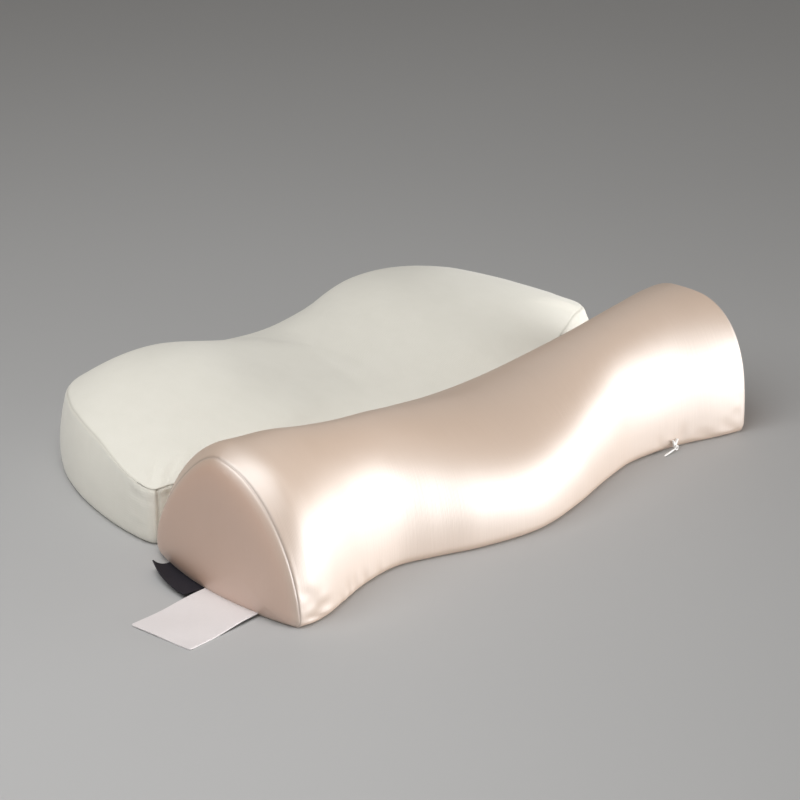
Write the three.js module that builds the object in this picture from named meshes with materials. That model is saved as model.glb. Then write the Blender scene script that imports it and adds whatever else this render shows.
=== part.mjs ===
// A two-piece contour pillow: a head pad with a low middle and two raised wings, and a satin neck roll that
// nests against its front edge. Millimetres. X runs along the roll, Y from the roll back to the pad, Z up.
// The pieces are drawn from the roll's near end and reference line, and the group is then moved so that the
// origin lies under the middle of the whole, on the surface that it rests on.
import * as THREE from "three";

// Neck roll: the D section at stations along its length, measured from its reference line at y = 0.
const ROLL_ROWS = [
  { x: 0, front: 97, back: 72, height: 113.5, frontFullness: 0.5, backFullness: 0.3 },
  { x: 14, front: 98.5, back: 77.5, height: 118.2, frontFullness: 0.6, backFullness: 0.42 },
  { x: 30, front: 96.5, back: 74, height: 118.3, frontFullness: 0.62, backFullness: 0.39 },
  { x: 50, front: 90, back: 68, height: 117, frontFullness: 0.62, backFullness: 0.38 },
  { x: 80, front: 80, back: 58, height: 111, frontFullness: 0.62, backFullness: 0.38 },
  { x: 117, front: 75, back: 53, height: 105, frontFullness: 0.62, backFullness: 0.38 },
  { x: 150, front: 84, back: 57, height: 101, frontFullness: 0.62, backFullness: 0.41 },
  { x: 185, front: 96, back: 60, height: 95, frontFullness: 0.62, backFullness: 0.46 },
  { x: 240, front: 105, back: 61, height: 88.5, frontFullness: 0.62, backFullness: 0.5 },
  { x: 296, front: 95, back: 58, height: 92, frontFullness: 0.62, backFullness: 0.46 },
  { x: 345, front: 80, back: 54, height: 100, frontFullness: 0.62, backFullness: 0.41 },
  { x: 385, front: 71, back: 50, height: 107.5, frontFullness: 0.62, backFullness: 0.38 },
  { x: 435, front: 75, back: 53, height: 115, frontFullness: 0.62, backFullness: 0.38 },
  { x: 475, front: 86, back: 64, height: 118, frontFullness: 0.62, backFullness: 0.38 },
  { x: 500, front: 92, back: 70, height: 118, frontFullness: 0.62, backFullness: 0.38 },
];
const ROLL_RIDGE_Y = -20;
const ROLL_HEM_LIFT = 3;
const ROLL_HEM_INSET = 3;
const ROLL_STATIONS = 44;
const ROLL_ARC_STEPS = 17;
const ROLL_BASE_STEPS = 6;
// How far the end seams stray along X, outwards, on the way over the roll from front hem to back hem.
const ROLL_END_ROWS = [
  { over: 0, near: 0, far: 0 },
  { over: 0.22, near: 4, far: 3 },
  { over: 0.38, near: 7, far: -2 },
  { over: 0.5, near: 9, far: -13 },
  { over: 0.75, near: 4, far: -12 },
  { over: 1, near: -2, far: -9 },
];
const ROLL_END_REACH = 80;
const ROLL_BASE_BOW = 12;
const ROLL_PANEL_BULGE = 9;
const ROLL_PANEL_RINGS = 5;

// Head pad: its plan on the surface, with the height of the seam between side band and top panel.
const PAD_ROWS = [
  { x: 22, y: 77.3, seam: 48 },
  { x: 45, y: 72, seam: 48 },
  { x: 80, y: 64, seam: 48 },
  { x: 117, y: 61, seam: 48 },
  { x: 150, y: 64, seam: 48 },
  { x: 185, y: 67, seam: 48 },
  { x: 240, y: 68, seam: 48 },
  { x: 296, y: 64, seam: 48 },
  { x: 345, y: 62, seam: 48 },
  { x: 385, y: 60, seam: 48 },
  { x: 425, y: 67, seam: 48 },
  { x: 465, y: 86, seam: 48 },
  { x: 493, y: 97, seam: 48 },
  { x: 516, y: 106.5, seam: 48 },
  { x: 528, y: 110.5, seam: 48 },
  { x: 535, y: 115, seam: 48 },
  { x: 537, y: 122, seam: 48.5 },
  { x: 536, y: 134, seam: 49 },
  { x: 527, y: 163, seam: 51 },
  { x: 511, y: 206, seam: 52 },
  { x: 490, y: 250, seam: 52 },
  { x: 462, y: 286, seam: 51 },
  { x: 425, y: 303, seam: 49 },
  { x: 385, y: 302, seam: 48 },
  { x: 340, y: 292, seam: 46 },
  { x: 290, y: 285, seam: 45 },
  { x: 240, y: 287, seam: 46 },
  { x: 190, y: 294, seam: 49 },
  { x: 140, y: 297, seam: 54 },
  { x: 98, y: 290, seam: 56 },
  { x: 60, y: 273, seam: 58 },
  { x: 34, y: 238, seam: 61 },
  { x: 17, y: 197, seam: 62 },
  { x: 7, y: 155, seam: 59 },
  { x: 3, y: 122, seam: 54 },
  { x: 2.3, y: 102, seam: 51 },
  { x: 2.7, y: 90, seam: 49.5 },
  { x: 4, y: 83.6, seam: 48.5 },
  { x: 7, y: 79.6, seam: 48 },
  { x: 12, y: 78.1, seam: 48 },
];
const PAD_POINTS_PER_ROW = 3;
const PAD_MIDDLE_X = 262;
const PAD_MIDDLE_Y = 185;
// Height of the top along its low middle, and how much higher the left and right wings stand.
const PAD_TOP_ROWS = [
  { y: 60, cradle: 49, left: 6, right: 6 },
  { y: 110, cradle: 53, left: 13, right: 13 },
  { y: 160, cradle: 57, left: 19, right: 19 },
  { y: 215, cradle: 60, left: 20, right: 19 },
  { y: 260, cradle: 57, left: 18, right: 17 },
  { y: 310, cradle: 49, left: 12, right: 12 },
];
const PAD_WING_ROWS = [
  { reach: 0, share: 0 },
  { reach: 15, share: 0.02 },
  { reach: 55, share: 0.3 },
  { reach: 110, share: 0.88 },
  { reach: 150, share: 1 },
  { reach: 200, share: 0.8 },
  { reach: 270, share: 0.4 },
];
const PAD_SHOULDER = 62;
const PAD_SHOULDER_POWER = 2.5;
// The side band leans in as it rises, by these shares of its lean and of the seam's height.
const PAD_BAND_ROWS = [
  { lean: 0.2, height: 0.4 },
  { lean: 0.55, height: 0.75 },
  { lean: 1, height: 1 },
];
const PAD_LEAN = 8;
const PAD_LEAN_FROM_Y = 90;
const PAD_LEAN_TO_Y = 170;
// Towards its right end the band flares out further below the seam.
const PAD_FLARE = 12;
const PAD_FLARE_FROM_X = 450;
const PAD_FLARE_TO_X = 530;
const PAD_TOP_STEPS = [0.02, 0.05, 0.09, 0.14, 0.2, 0.27, 0.36, 0.46, 0.57, 0.69, 0.81, 0.92];
const PAD_HEM_LIFT = 3;
const PAD_HEM_INSET = 3;

// Labels: bent sheets that come out of the hem at the roll's near end.
const LABEL_THICKNESS = 1.2;
const LABEL_SEAM_HEIGHT = 2;
const LABEL_CLEARANCE = 1.4;
// Woven label: its outer edge at places along the hem.
const WOVEN_ROWS = [
  { y: -3, reach: 21, lift: 2 },
  { y: 15, reach: 21, lift: 3 },
  { y: 32, reach: 20, lift: 5.5 },
  { y: 47, reach: 17, lift: 8 },
];
const WOVEN_CURL_POWER = 2.4;
const WOVEN_STEPS_OUT = 6;
const WOVEN_STEPS_ALONG = 10;
// Care label: its two long sides, from the hem to its free corners.
const CARE_BACK_SIDE = { hemY: -4.4, freeX: -85.5, freeY: -8.1 };
const CARE_FRONT_SIDE = { hemY: -60.8, freeX: -77, freeY: -66.3 };
const CARE_HUMP = 2.2;
const CARE_HUMP_FROM = 8;
const CARE_HUMP_TO = 48;
const CARE_STEPS_OUT = 14;
const CARE_STEPS_ALONG = 6;
const CARE_CORNER = 0.03;

// Zip: the slider sits on the roll's front wall just above the hem, and the pull hangs from it to the floor.
const ZIP_X = 430;
const ZIP_GAP = 0.4;
const SLIDER_THICKNESS = 2;
const SLIDER_STEM = 1.6;
const SLIDER_SPREAD = 3.4;
const SLIDER_PRONG = 1.3;
const SLIDER_FOOT_Z = 3.2;
const SLIDER_FORK_Z = 6.4;
const SLIDER_TOP_Z = 10;
const PULL_RING_RADIUS = 2.4;
const PULL_HOLE_RADIUS = 0.9;
const PULL_RING_Z = 3.2;
const PULL_LENGTH = 17;
const PULL_WIDTH = 1.7;
const PULL_THICKNESS = 1.4;
const PULL_TIP_Z = 1.1;
const PULL_SWING = 4;

// Value of one named column at a place along a table, on a smooth curve through its rows.
function along(rows, key, place, column) {
  const last = rows.length - 2;
  const found = rows.findIndex((row, i) => i > 0 && place <= row[key]) - 1;
  const i = found < 0 ? last : found;
  const slope = (k) => {
    const before = rows[Math.max(k - 1, 0)];
    const after = rows[Math.min(k + 1, rows.length - 1)];
    return (after[column] - before[column]) / (after[key] - before[key]);
  };
  const width = rows[i + 1][key] - rows[i][key];
  const t = (place - rows[i][key]) / width;
  const start = rows[i][column];
  const end = rows[i + 1][column];
  const rise = (t - 2 * t ** 2 + t ** 3) * width * slope(i) + (t ** 3 - t ** 2) * width * slope(i + 1);
  return start + (end - start) * (3 * t ** 2 - 2 * t ** 3) + rise;
}

function solid(points, faces) {
  const geometry = new THREE.BufferGeometry();
  geometry.setAttribute("position", new THREE.Float32BufferAttribute(points.flatMap((p) => p.toArray()), 3));
  geometry.setIndex(faces);
  geometry.computeVertexNormals();
  return geometry;
}

// Closed solid from rings of equal length, each end closed onto its own tip.
function loft(rings, startTip, endTip) {
  const count = rings[0].length;
  const points = [startTip, ...rings.flat(), endTip];
  const at = (ring, i) => 1 + ring * count + (i % count);
  const faces = [];
  for (let i = 0; i < count; i += 1) {
    faces.push(0, at(0, i + 1), at(0, i));
    for (let ring = 0; ring + 1 < rings.length; ring += 1) {
      faces.push(at(ring, i), at(ring, i + 1), at(ring + 1, i));
      faces.push(at(ring, i + 1), at(ring + 1, i + 1), at(ring + 1, i));
    }
    faces.push(at(rings.length - 1, i), at(rings.length - 1, i + 1), points.length - 1);
  }
  return solid(points, faces);
}

// Closed solid from a sheet's underside grid: rows run from the hem outwards, places from back to front.
function sheetSolid(grid, thickness) {
  const wide = grid[0].length;
  const under = grid.flat();
  const over = under.map((p) => p.clone().setZ(p.z + thickness));
  const low = (i, j) => i * wide + j;
  const high = (i, j) => under.length + low(i, j);
  const faces = [];
  const quad = (a, b, c, d) => faces.push(a, b, c, a, c, d);
  const lastRow = grid.length - 1;
  const lastPlace = wide - 1;
  for (let i = 0; i < lastRow; i += 1) {
    for (let j = 0; j < lastPlace; j += 1) {
      quad(high(i, j), high(i + 1, j), high(i + 1, j + 1), high(i, j + 1));
      quad(low(i, j), low(i, j + 1), low(i + 1, j + 1), low(i + 1, j));
    }
    quad(low(i, 0), low(i + 1, 0), high(i + 1, 0), high(i, 0));
    quad(low(i, lastPlace), high(i, lastPlace), high(i + 1, lastPlace), low(i + 1, lastPlace));
  }
  for (let j = 0; j < lastPlace; j += 1) {
    quad(low(0, j), high(0, j), high(0, j + 1), low(0, j + 1));
    quad(low(lastRow, j), low(lastRow, j + 1), high(lastRow, j + 1), high(lastRow, j));
  }
  return solid([...under, ...over], faces);
}

function material(color, roughness, metalness = 0) {
  return new THREE.MeshStandardMaterial({ color, roughness, metalness });
}

function mesh(name, geometry, look) {
  const piece = new THREE.Mesh(geometry, look);
  piece.name = name;
  return piece;
}

// One D section of the roll: back hem, over the ridge, front hem, then along the flat base.
function rollSection(x) {
  const front = along(ROLL_ROWS, "x", x, "front");
  const back = along(ROLL_ROWS, "x", x, "back");
  const height = along(ROLL_ROWS, "x", x, "height");
  const frontFullness = along(ROLL_ROWS, "x", x, "frontFullness");
  const backFullness = along(ROLL_ROWS, "x", x, "backFullness");
  const rise = height - ROLL_HEM_LIFT;
  const v = (y, z) => new THREE.Vector2(y, z);
  const backHalf = new THREE.CubicBezierCurve(
    v(back, ROLL_HEM_LIFT),
    v(back, ROLL_HEM_LIFT + rise * backFullness),
    v(ROLL_RIDGE_Y + (back - ROLL_RIDGE_Y) * backFullness, height),
    v(ROLL_RIDGE_Y, height),
  );
  const frontHalf = new THREE.CubicBezierCurve(
    v(ROLL_RIDGE_Y, height),
    v(ROLL_RIDGE_Y - (front + ROLL_RIDGE_Y) * frontFullness, height),
    v(-front, ROLL_HEM_LIFT + rise * frontFullness),
    v(-front, ROLL_HEM_LIFT),
  );
  const upper = [...backHalf.getPoints(ROLL_ARC_STEPS).slice(0, -1), ...frontHalf.getPoints(ROLL_ARC_STEPS)];
  const baseFront = -front + ROLL_HEM_INSET;
  const baseBack = back - ROLL_HEM_INSET;
  const base = [];
  for (let i = 0; i <= ROLL_BASE_STEPS; i += 1) {
    base.push(v(baseFront + ((baseBack - baseFront) * i) / ROLL_BASE_STEPS, 0));
  }
  return [...upper, ...base];
}

// How far outwards the point with this index in a section strays at one end of the roll.
function endShift(index, end) {
  const hem = 2 * ROLL_ARC_STEPS;
  if (index <= hem) {
    return along(ROLL_END_ROWS, "over", 1 - index / hem, end);
  }
  return baseShift((index - hem - 1) / ROLL_BASE_STEPS, end);
}

// The same for the edge of the flat base, at a share of the way from the front hem to the back hem.
function baseShift(share, end) {
  const backHem = ROLL_END_ROWS[ROLL_END_ROWS.length - 1][end];
  return backHem * share + 4 * ROLL_BASE_BOW * share * (1 - share);
}

// X at a place inside an end seam, spread smoothly from the seam's own X by mean value coordinates.
function spreadInside(place, seamRing) {
  const toward = seamRing.map((p) => new THREE.Vector2(p.y - place.y, p.z - place.z));
  const count = seamRing.length;
  const halfTurn = toward.map((a, i) => {
    const b = toward[(i + 1) % count];
    return Math.tan(Math.atan2(a.cross(b), a.dot(b)) / 2);
  });
  let sum = 0;
  let total = 0;
  seamRing.forEach((p, i) => {
    const weight = (halfTurn[i] + halfTurn[(i + count - 1) % count]) / toward[i].length();
    sum += weight * p.x;
    total += weight;
  });
  return sum / total;
}

// The rings of one end panel, from beside the seam to near its middle, domed outwards.
function panelRings(seamRing, outward) {
  const middle = new THREE.Vector3();
  seamRing.forEach((p) => middle.add(p));
  middle.divideScalar(seamRing.length);
  const place = (p, share) => {
    const inside = middle.clone().lerp(p, share);
    return inside.setX(spreadInside(inside, seamRing) + outward * ROLL_PANEL_BULGE * (1 - share ** 2));
  };
  const rings = [];
  for (let k = ROLL_PANEL_RINGS; k >= 1; k -= 1) {
    rings.push(seamRing.map((p) => place(p, k / (ROLL_PANEL_RINGS + 1))));
  }
  return { rings, tip: place(middle, 0) };
}

function neckRoll() {
  const length = ROLL_ROWS[ROLL_ROWS.length - 1].x;
  const rings = [];
  for (let i = 0; i <= ROLL_STATIONS; i += 1) {
    const x = (length * i) / ROLL_STATIONS;
    const nearShare = Math.max(0, 1 - x / ROLL_END_REACH) ** 2;
    const farShare = Math.max(0, 1 - (length - x) / ROLL_END_REACH) ** 2;
    rings.push(rollSection(x).map((p, k) => {
      const shift = endShift(k, "far") * farShare - endShift(k, "near") * nearShare;
      return new THREE.Vector3(x + shift, p.x, p.y);
    }));
  }
  const near = panelRings(rings[0], -1);
  const far = panelRings(rings[rings.length - 1], 1);
  const all = [...near.rings.reverse(), ...rings, ...far.rings];
  return mesh("neck_roll", loft(all, near.tip, far.tip), material(0xd8c2ae, 0.34));
}

// Plan and seam height at even steps round the pad.
function padOutline() {
  const corners = PAD_ROWS.map((row) => new THREE.Vector3(row.x, row.y, row.seam));
  const curve = new THREE.CatmullRomCurve3(corners, true, "centripetal");
  return curve.getPoints(PAD_ROWS.length * PAD_POINTS_PER_ROW).slice(0, -1);
}

// Height of the pad's top before it rounds down to the seam.
function padTop(x, y) {
  const cradle = along(PAD_TOP_ROWS, "y", y, "cradle");
  const wing = along(PAD_TOP_ROWS, "y", y, x < PAD_MIDDLE_X ? "left" : "right");
  return cradle + wing * along(PAD_WING_ROWS, "reach", Math.abs(x - PAD_MIDDLE_X), "share");
}

function headPad() {
  const outline = padOutline();
  const middle = new THREE.Vector2(PAD_MIDDLE_X, PAD_MIDDLE_Y);
  // A ring drawn in towards the middle by a distance of its own at each point.
  const ring = (insetAt, heightAt) => outline.map((p) => {
    const inward = new THREE.Vector2(middle.x - p.x, middle.y - p.y).setLength(insetAt(p));
    return new THREE.Vector3(p.x + inward.x, p.y + inward.y, heightAt(p));
  });
  const leanAt = (p) => Math.max(
    PAD_LEAN * THREE.MathUtils.smoothstep(p.y, PAD_LEAN_FROM_Y, PAD_LEAN_TO_Y),
    PAD_FLARE * THREE.MathUtils.smoothstep(p.x, PAD_FLARE_FROM_X, PAD_FLARE_TO_X),
  );
  const band = [
    ring(() => PAD_HEM_INSET, () => 0),
    ring(() => 0, () => PAD_HEM_LIFT),
    ...PAD_BAND_ROWS.map((row) => ring((p) => leanAt(p) * row.lean, (p) => p.z * row.height)),
  ];
  const seamRing = band[band.length - 1];
  const top = PAD_TOP_STEPS.map((step) => seamRing.map((p) => {
    const x = THREE.MathUtils.lerp(p.x, middle.x, step);
    const y = THREE.MathUtils.lerp(p.y, middle.y, step);
    const inward = Math.min(Math.hypot(x - p.x, y - p.y) / PAD_SHOULDER, 1);
    const share = 1 - (1 - inward) ** PAD_SHOULDER_POWER;
    return new THREE.Vector3(x, y, THREE.MathUtils.lerp(p.z, padTop(x, y), share));
  }));
  const baseTip = new THREE.Vector3(middle.x, middle.y, 0);
  const topTip = new THREE.Vector3(middle.x, middle.y, padTop(middle.x, middle.y));
  return mesh("head_pad", loft([...band, ...top], baseTip, topTip), material(0xdedbcf, 0.9));
}

// X of a label's sewn edge where it meets the hem of the roll's near end.
function labelSeamX(y) {
  const baseFront = -ROLL_ROWS[0].front + ROLL_HEM_INSET;
  const baseBack = ROLL_ROWS[0].back - ROLL_HEM_INSET;
  return -baseShift((y - baseFront) / (baseBack - baseFront), "near") - LABEL_CLEARANCE;
}

function wovenLabel() {
  const frontY = WOVEN_ROWS[0].y;
  const backY = WOVEN_ROWS[WOVEN_ROWS.length - 1].y;
  const grid = [];
  for (let i = 0; i <= WOVEN_STEPS_OUT; i += 1) {
    const out = i / WOVEN_STEPS_OUT;
    const row = [];
    for (let j = 0; j <= WOVEN_STEPS_ALONG; j += 1) {
      const y = THREE.MathUtils.lerp(backY, frontY, j / WOVEN_STEPS_ALONG);
      const x = labelSeamX(y) - out * along(WOVEN_ROWS, "y", y, "reach");
      const z = LABEL_SEAM_HEIGHT + out ** WOVEN_CURL_POWER * along(WOVEN_ROWS, "y", y, "lift");
      row.push(new THREE.Vector3(x, y, z));
    }
    grid.push(row);
  }
  return mesh("woven_label", sheetSolid(grid, LABEL_THICKNESS), material(0x211d26, 0.8));
}

function careLabel() {
  const corner = (side) => new THREE.Vector2(side.freeX, side.freeY);
  const grid = [];
  for (let i = 0; i <= CARE_STEPS_OUT; i += 1) {
    const out = i / CARE_STEPS_OUT;
    const trim = i === CARE_STEPS_OUT ? CARE_CORNER : 0;
    const row = [];
    for (let j = 0; j <= CARE_STEPS_ALONG; j += 1) {
      const share = THREE.MathUtils.lerp(trim, 1 - trim, j / CARE_STEPS_ALONG);
      const freeEnd = corner(CARE_BACK_SIDE).lerp(corner(CARE_FRONT_SIDE), share);
      const y = THREE.MathUtils.lerp(CARE_BACK_SIDE.hemY, CARE_FRONT_SIDE.hemY, share);
      const start = new THREE.Vector2(labelSeamX(y), y);
      const place = start.clone().lerp(freeEnd, out);
      const away = place.distanceTo(start);
      const z = CARE_HUMP * (1 - THREE.MathUtils.smoothstep(away, CARE_HUMP_FROM, CARE_HUMP_TO));
      row.push(new THREE.Vector3(place.x, place.y, z));
    }
    grid.push(row);
  }
  return mesh("care_label", sheetSolid(grid, LABEL_THICKNESS), material(0xe9e6e4, 0.75));
}

// The zip's slider, a short stem with two prongs, flat against the roll's front wall.
function zipSlider() {
  const outline = new THREE.Shape();
  outline.moveTo(-SLIDER_STEM, SLIDER_FOOT_Z);
  outline.lineTo(SLIDER_STEM, SLIDER_FOOT_Z);
  outline.lineTo(SLIDER_STEM, SLIDER_FORK_Z - SLIDER_PRONG);
  outline.lineTo(SLIDER_SPREAD, SLIDER_TOP_Z);
  outline.lineTo(SLIDER_SPREAD - SLIDER_PRONG, SLIDER_TOP_Z);
  outline.lineTo(0, SLIDER_FORK_Z);
  outline.lineTo(-SLIDER_SPREAD + SLIDER_PRONG, SLIDER_TOP_Z);
  outline.lineTo(-SLIDER_SPREAD, SLIDER_TOP_Z);
  outline.lineTo(-SLIDER_STEM, SLIDER_FORK_Z - SLIDER_PRONG);
  outline.closePath();
  const geometry = new THREE.ExtrudeGeometry(outline, { depth: SLIDER_THICKNESS, bevelEnabled: false });
  geometry.rotateX(Math.PI / 2);
  return mesh("zip_slider", geometry, material(0xf2f0ee, 0.5));
}

// The zip's pull, a ring and a bar in one flat piece.
function zipPull() {
  const half = PULL_WIDTH / 2;
  const join = Math.asin(half / PULL_RING_RADIUS);
  const outline = new THREE.Shape();
  outline.absarc(0, 0, PULL_RING_RADIUS, -Math.PI + join, Math.PI - join, false);
  outline.lineTo(-PULL_LENGTH + half, half);
  outline.absarc(-PULL_LENGTH + half, 0, half, Math.PI / 2, (3 * Math.PI) / 2, false);
  outline.closePath();
  const hole = new THREE.Path();
  hole.absarc(0, 0, PULL_HOLE_RADIUS, 0, 2 * Math.PI, true);
  outline.holes.push(hole);
  const flat = { depth: PULL_THICKNESS, bevelEnabled: false, curveSegments: 16 };
  const geometry = new THREE.ExtrudeGeometry(outline, flat);
  geometry.rotateX(Math.PI / 2);
  return mesh("zip_pull", geometry, material(0xf2f0ee, 0.45));
}

// The slider and its pull, set against the front wall.
function zip() {
  const slider = zipSlider();
  const pull = zipPull();
  const wall = -along(ROLL_ROWS, "x", ZIP_X + SLIDER_SPREAD, "front") - ZIP_GAP;
  slider.position.set(ZIP_X, wall, 0);
  pull.position.set(ZIP_X, wall - SLIDER_THICKNESS - ZIP_GAP, PULL_RING_Z);
  pull.rotation.y = -Math.asin((PULL_RING_Z - PULL_TIP_Z) / PULL_LENGTH);
  pull.rotation.z = THREE.MathUtils.degToRad(PULL_SWING);
  return [slider, pull];
}

const pillow = new THREE.Group();
pillow.add(headPad(), neckRoll(), wovenLabel(), careLabel(), ...zip());
const bounds = new THREE.Box3().setFromObject(pillow, true);
const middle = bounds.getCenter(new THREE.Vector3());
pillow.position.set(-middle.x, -middle.y, -bounds.min.z);

export default pillow;
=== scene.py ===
"""Contour pillow on a pale floor: an ivory knit head pad and a champagne satin neck roll nested against it.

Metres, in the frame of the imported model. Shapes are drawn in millimetres from the roll's near end, as the
solids are, and moved into that frame when they become meshes.
"""

import math

import bpy
import numpy as np
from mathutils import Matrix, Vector, noise


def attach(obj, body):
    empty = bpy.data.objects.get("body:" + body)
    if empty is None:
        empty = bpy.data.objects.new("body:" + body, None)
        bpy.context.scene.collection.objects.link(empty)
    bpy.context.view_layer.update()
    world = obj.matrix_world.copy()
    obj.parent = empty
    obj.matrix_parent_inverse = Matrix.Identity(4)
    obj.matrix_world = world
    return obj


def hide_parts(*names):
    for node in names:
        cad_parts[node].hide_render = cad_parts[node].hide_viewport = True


MM = 0.001
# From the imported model's origin to the drawing origin at the roll's near end, in millimetres.
DRAWN_FROM = (-225.926, -99.638, 0.0)

# Camera: where it looks on the floor, in the drawing's millimetres, and from where.
LOOK_AT = (334.053, 156.03, 0.0)
VIEW_AZIMUTH = -43.0
VIEW_ELEVATION = 23.701
VIEW_DISTANCE = 2198.443
LENS_PIXELS = 2527.449
FRAME_PIXELS = 800
SENSOR = 36.0


def in_frame(point):
    """A drawing point, in millimetres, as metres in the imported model's frame."""
    return Vector(point) * MM + Vector(DRAWN_FROM) * MM


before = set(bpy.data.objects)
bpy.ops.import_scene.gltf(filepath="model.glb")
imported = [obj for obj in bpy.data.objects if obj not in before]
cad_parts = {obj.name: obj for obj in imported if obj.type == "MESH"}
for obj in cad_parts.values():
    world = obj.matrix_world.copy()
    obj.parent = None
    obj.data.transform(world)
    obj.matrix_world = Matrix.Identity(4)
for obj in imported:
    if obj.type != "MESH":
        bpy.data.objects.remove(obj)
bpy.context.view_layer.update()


def make_camera():
    azimuth = math.radians(VIEW_AZIMUTH)
    elevation = math.radians(VIEW_ELEVATION)
    level = math.cos(elevation)
    back = Vector((math.sin(azimuth) * level, -math.cos(azimuth) * level, math.sin(elevation)))
    data = bpy.data.cameras.new("camera")
    data.sensor_width = SENSOR
    data.lens = LENS_PIXELS * SENSOR / FRAME_PIXELS
    data.clip_end = 30.0
    camera = bpy.data.objects.new("camera", data)
    bpy.context.scene.collection.objects.link(camera)
    camera.rotation_euler = back.to_track_quat("Z", "Y").to_euler()
    camera.location = in_frame(LOOK_AT) + back * VIEW_DISTANCE * MM
    bpy.context.scene.camera = camera


make_camera()


# Shapes shared by both pieces.

def along(rows, key, place, column):
    """Value of one named column at a place along a table, on a smooth curve through its rows."""
    last = len(rows) - 1
    i = 0
    while i < last - 1 and place > rows[i + 1][key]:
        i += 1

    def slope(k):
        before, after = rows[max(k - 1, 0)], rows[min(k + 1, last)]
        return (after[column] - before[column]) / (after[key] - before[key])

    width = rows[i + 1][key] - rows[i][key]
    t = (place - rows[i][key]) / width
    start, end = rows[i][column], rows[i + 1][column]
    rise = (t - 2 * t**2 + t**3) * width * slope(i) + (t**3 - t**2) * width * slope(i + 1)
    return start + (end - start) * (3 * t**2 - 2 * t**3) + rise


def table(columns, *rows):
    names = columns.split()
    return [dict(zip(names, row)) for row in rows]


def smoothstep(x, low, high):
    t = np.clip((x - low) / (high - low), 0.0, 1.0)
    return t * t * (3 - 2 * t)


def mix(a, b, share):
    return a + (b - a) * share


def ring_mesh(name, rings, start_tip, end_tip, uv_of_region, region_of_ring):
    """Closed mesh through rings of equal length; each end closes onto its own tip.

    uv_of_region holds, for each region, the cloth coordinates of every vertex; region_of_ring(r, i) names the
    region of the faces between ring r and the next, from place i onwards.
    """
    count_r, count_n = rings.shape[:2]
    points = np.vstack([[start_tip], rings.reshape(-1, 3), [end_tip]])
    faces, regions = [], []

    def at(r, i):
        return 1 + r * count_n + i % count_n

    for i in range(count_n):
        faces.append((0, at(0, i + 1), at(0, i)))
        regions.append(region_of_ring(-1, i))
        for r in range(count_r - 1):
            faces.append((at(r, i), at(r, i + 1), at(r + 1, i + 1), at(r + 1, i)))
            regions.append(region_of_ring(r, i))
        faces.append((at(count_r - 1, i), at(count_r - 1, i + 1), len(points) - 1))
        regions.append(region_of_ring(count_r - 1, i))
    mesh = bpy.data.meshes.new(name)
    mesh.from_pydata([tuple(p) for p in points], [], faces)
    mesh.update()
    layer = mesh.uv_layers.new(name="cloth")
    corners = np.empty(len(mesh.loops), dtype=np.int32)
    mesh.loops.foreach_get("vertex_index", corners)
    sizes = [len(face) for face in faces]
    region = np.repeat(regions, sizes)
    uv = np.zeros((len(corners), 2))
    for k, coordinates in enumerate(uv_of_region):
        chosen = region == k
        uv[chosen] = coordinates[corners[chosen]]
    layer.data.foreach_set("uv", (uv * MM).astype(np.float32).ravel())
    mesh.polygons.foreach_set("use_smooth", [True] * len(faces))
    return link(name, mesh)


def link(name, mesh):
    made = bpy.data.objects.new(name, mesh)
    bpy.context.scene.collection.objects.link(made)
    return made


def places_of(piece):
    co = np.empty(len(piece.data.vertices) * 3)
    piece.data.vertices.foreach_get("co", co)
    return co.reshape(-1, 3)


def normals_of(piece):
    piece.data.update()
    n = np.empty(len(piece.data.vertices) * 3)
    piece.data.vertices.foreach_get("normal", n)
    return n.reshape(-1, 3)


def move_to(piece, co):
    piece.data.vertices.foreach_set("co", np.asarray(co).ravel())
    piece.data.update()


def apply_modifiers(piece):
    graph = bpy.context.evaluated_depsgraph_get()
    done = bpy.data.meshes.new_from_object(piece.evaluated_get(graph), depsgraph=graph)
    piece.modifiers.clear()
    old = piece.data
    piece.data = done
    bpy.data.meshes.remove(old)


def subdivide(piece):
    piece.modifiers.new("fine", "SUBSURF").levels = 1
    apply_modifiers(piece)


# Cloth pass: the cover is blown up a little between its seams, as foam fills it. The nearer places are to a
# seam, the more they are held, and those near the floor stay where they are.
CLOTH_FRAMES = 20
CLOTH_PRESSURE = 4.0
CLOTH_STIFFNESS = 18.0
CLOTH_BENDING = 2.0
CLOTH_CAP = 2.5 * MM
HELD_ROWS = table(
    "within weight",
    (12, 0.3),
    (6, 0.6),
    (3.5, 1.0),
)
HELD_BELOW_Z = 4
EASE_ROUNDS = 30
# Distance from a seam, in millimetres, that is given to places with no seam near them.
NO_SEAM = 90.0


def held_places(to_seam, drawn):
    held = np.zeros(len(drawn))
    for row in HELD_ROWS:
        held[to_seam < row["within"]] = row["weight"]
    held[drawn[:, 2] < HELD_BELOW_Z] = 1.0
    return held


def eased(piece, moved, free):
    """Evens out how far the free places move, so the filled cover keeps no sharp kinks."""
    ends = np.empty(2 * len(piece.data.edges), dtype=np.int32)
    piece.data.edges.foreach_get("vertices", ends)
    first, second = ends.reshape(-1, 2).T
    neighbours = np.bincount(ends, minlength=len(moved))[:, None]
    for _ in range(EASE_ROUNDS):
        total = np.zeros_like(moved)
        np.add.at(total, first, moved[second])
        np.add.at(total, second, moved[first])
        moved = np.where(free[:, None], (moved + total / neighbours) / 2, moved)
    return moved


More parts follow.
